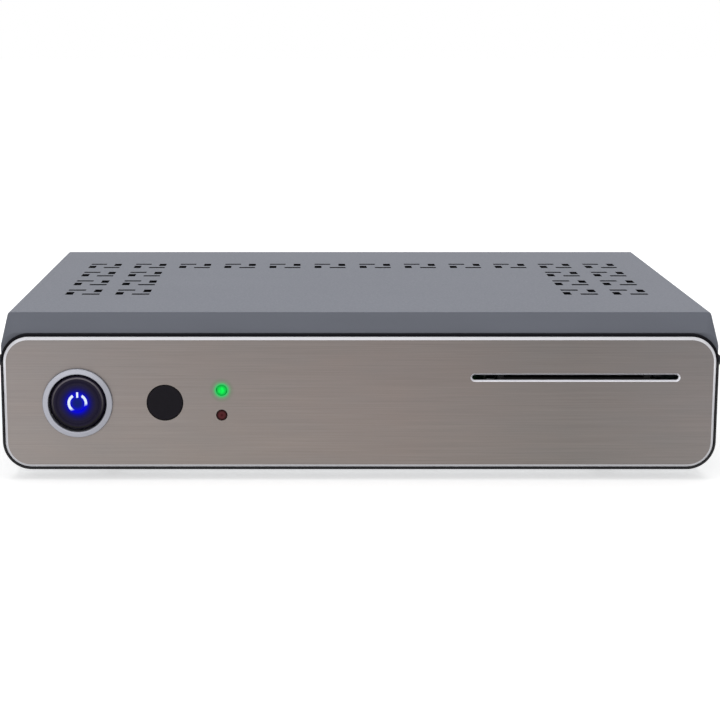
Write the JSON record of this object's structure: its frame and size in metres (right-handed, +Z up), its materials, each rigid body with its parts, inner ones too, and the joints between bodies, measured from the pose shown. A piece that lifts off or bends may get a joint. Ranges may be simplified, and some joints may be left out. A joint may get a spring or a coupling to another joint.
{
  "type": "satellite tv receiver",
  "caption": "Low desktop satellite television receiver: brushed fascia with ringed power button and card slot, vented steel cover, rear sockets.",
  "frame": {"origin": "on the floor under the middle of the whole part, screw heads and rear sockets included", "axes": "+X to the right as seen from the front, +Y from the front to the rear panel, +Z up"},
  "size_m": [0.2844, 0.2026, 0.0655],
  "materials": {
    "cover_paint": "fine satin powder coat, blue grey",
    "surround_plastic": "moulded grey plastic, satin",
    "frame_plastic": "black, semi-gloss",
    "fascia_metal": "warm grey, brushed sideways, bright bevelled edge",
    "ring_chrome": "polished",
    "button_plastic": "dark translucent, smooth",
    "window_plastic": "dark infrared filter, smooth",
    "lens_green": "clear green, lit",
    "lens_red": "dark red, unlit",
    "chassis_steel": "zinc-coated sheet",
    "board_resin": "green solder mask",
    "black_plastic": "moulded black plastic",
    "sink_aluminium": "extruded, plain",
    "socket_metal": "nickel plate",
    "ribbon_plastic": "flat grey cable",
    "jack_red": "red plastic",
    "jack_white": "white plastic",
    "jack_yellow": "yellow plastic",
    "foot_rubber": "matt black rubber",
    "screw_black": "black oxide",
    "screw_zinc": "zinc plate"
  },
  "bodies": {
    "housing": {"top_cover": "cover_paint", "bottom_chassis": "chassis_steel", "rear_panel": "cover_paint", "front_surround": "surround_plastic", "front_frame": "frame_plastic", "fascia_plate": "fascia_metal", "power_ring": "ring_chrome", "switch_body": "black_plastic", "infrared_window": "window_plastic", "active_lens": "lens_green", "record_lens": "lens_red", "front_board": "board_resin", "active_light": "lens_green", "record_light": "lens_red", "infrared_receiver": "black_plastic", "front_ribbon": "ribbon_plastic", "card_reader": "black_plastic", "card_bracket": "chassis_steel", "main_board": "board_resin", "processor_chip": "black_plastic", "heat_sink": "sink_aluminium", "capacitor_1": "black_plastic", "capacitor_2": "black_plastic", "tuner_can_1": "chassis_steel", "tuner_can_2": "chassis_steel", "aerial_socket_1": "socket_metal", "aerial_socket_2": "socket_metal", "aerial_socket_3": "socket_metal", "aerial_socket_4": "socket_metal", "hdmi_socket": "socket_metal", "network_socket": "black_plastic", "usb_socket": "socket_metal", "optical_socket": "black_plastic", "jack_block": "black_plastic", "jack_1": "jack_red", "jack_2": "jack_white", "jack_3": "jack_yellow", "power_inlet": "black_plastic", "rocker_frame": "black_plastic", "foot_1": "foot_rubber", "foot_2": "foot_rubber", "foot_3": "foot_rubber", "foot_4": "foot_rubber", "front_side_screw_left": "screw_black", "rear_side_screw_left": "screw_black", "front_side_screw_right": "screw_black", "rear_side_screw_right": "screw_black", "lip_screw_1": "screw_black", "lip_screw_2": "screw_black", "lip_screw_3": "screw_black", "base_screw_1": "screw_black", "base_screw_2": "screw_black", "board_screw_1": "screw_zinc", "board_screw_2": "screw_zinc", "board_screw_3": "screw_zinc", "board_screw_4": "screw_zinc"},
    "power_button": {"power_button": "button_plastic", "switch_plunger": "black_plastic"},
    "optical_shutter": {"optical_shutter": "black_plastic"},
    "rocker": {"rocker": "black_plastic"}
  },
  "joints": [
    {"name": "power_button_press", "type": "slide", "parent": "housing", "child": "power_button", "axis": [0, 1, 0], "range_m": [0, 0.0012], "stiffness_N_per_m": 600, "springref_m": -0.0008},
    {"name": "optical_shutter_swing", "type": "hinge", "parent": "housing", "child": "optical_shutter", "pos_m": [-0.03625, 0.08825, 0.0218], "axis": [-1, 0, 0], "range_deg": [0, 75], "stiffness_Nm_per_rad": 0.0005, "springref_deg": -17.19},
    {"name": "rocker_tip", "type": "hinge", "parent": "housing", "child": "rocker", "pos_m": [-0.1197, 0.09065, 0.034], "axis": [1, 0, 0], "range_deg": [0, 20]}
  ]
}
